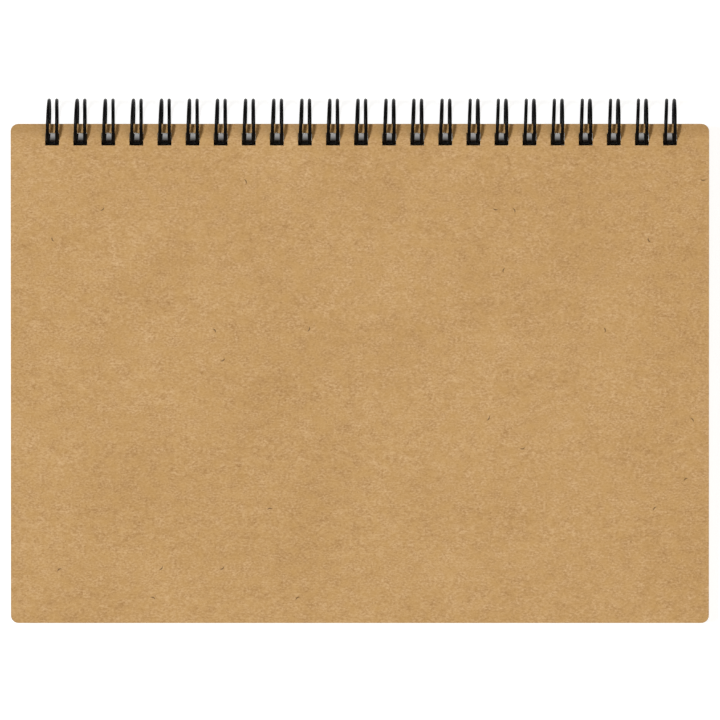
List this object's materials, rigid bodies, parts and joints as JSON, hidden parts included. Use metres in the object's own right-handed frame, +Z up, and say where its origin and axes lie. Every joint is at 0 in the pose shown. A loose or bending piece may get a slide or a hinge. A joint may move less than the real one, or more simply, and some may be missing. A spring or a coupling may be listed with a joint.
{
  "type": "wire-bound sketchbook",
  "caption": "Landscape sketchbook with rounded kraft board covers and paper sheets, bound along the long edge by a twin-loop wire so every leaf turns right over.",
  "frame": {"origin": "on the table, under the middle of the closed book's bounding box", "axes": "+X along the binding, +Y from the fore edge to the binding, +Z up out of the front cover"},
  "size_m": [0.2106, 0.1586, 0.0142],
  "materials": {
    "kraft_board": "matt natural brown board",
    "paper": "matt drawing paper",
    "coated_wire": "glossy black nylon coating on steel wire"
  },
  "bodies": {
    "lower_block": {"back_cover": "kraft_board", "sheet_13": "paper", "sheet_14": "paper", "sheet_15": "paper", "sheet_16": "paper", "sheet_17": "paper", "sheet_18": "paper", "sheet_19": "paper", "sheet_20": "paper", "sheet_21": "paper", "sheet_22": "paper", "sheet_23": "paper", "sheet_24": "paper"},
    "upper_leaves": {"sheet_02": "paper", "sheet_03": "paper", "sheet_04": "paper", "sheet_05": "paper", "sheet_06": "paper", "sheet_07": "paper", "sheet_08": "paper", "sheet_09": "paper", "sheet_10": "paper", "sheet_11": "paper", "sheet_12": "paper"},
    "first_sheet": {"sheet_01": "paper"},
    "binding_wire": {"binding_wire": "coated_wire"},
    "front_cover": {"front_cover": "kraft_board"}
  },
  "joints": [
    {"name": "upper_leaves_turn", "type": "hinge", "parent": "lower_block", "child": "upper_leaves", "pos_m": [0, 0.07216, 0.00713], "axis": [-1, 0, 0], "range_deg": [0, 182.8]},
    {"name": "first_sheet_turn", "type": "hinge", "parent": "upper_leaves", "child": "first_sheet", "pos_m": [0, 0.07216, 0.00713], "axis": [-1, 0, 0], "range_deg": [0, 182.8]},
    {"name": "binding_wire_turn", "type": "hinge", "parent": "first_sheet", "child": "binding_wire", "pos_m": [0, 0.07216, 0.00713], "axis": [-1, 0, 0], "range_deg": [0, 182.8]},
    {"name": "front_cover_turn", "type": "hinge", "parent": "binding_wire", "child": "front_cover", "pos_m": [0, 0.07216, 0.00713], "axis": [-1, 0, 0], "range_deg": [0, 182.8]}
  ]
}
